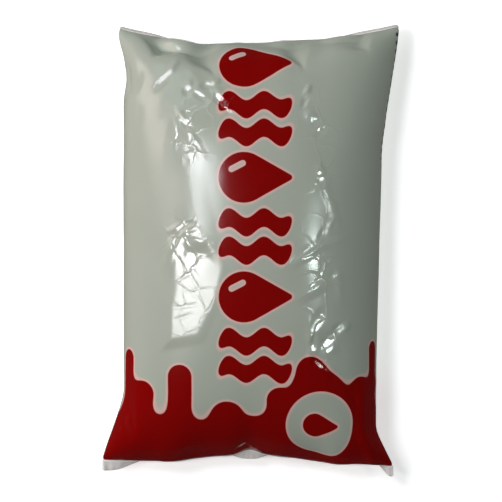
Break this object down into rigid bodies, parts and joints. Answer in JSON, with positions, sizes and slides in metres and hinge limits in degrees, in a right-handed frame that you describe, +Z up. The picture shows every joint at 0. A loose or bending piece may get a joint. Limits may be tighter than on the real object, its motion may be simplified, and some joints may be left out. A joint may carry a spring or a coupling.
{
  "type": "milk pouch",
  "caption": "Filled pillow pouch of milk lying on its back: thin film tube with rounded flanks, welded end strips and pointed corner ears.",
  "frame": {"origin": "middle of the bounding box at the height of the resting face", "axes": "+X across the pouch to the right of the printed side, +Y along the pouch to the end away from the colour band, +Z up out of the printed side"},
  "size_m": [0.1512, 0.2269, 0.049],
  "materials": {
    "film": "gloss"
  },
  "bodies": {
    "root": {"milk_pouch": "film"}
  },
  "joints": []
}
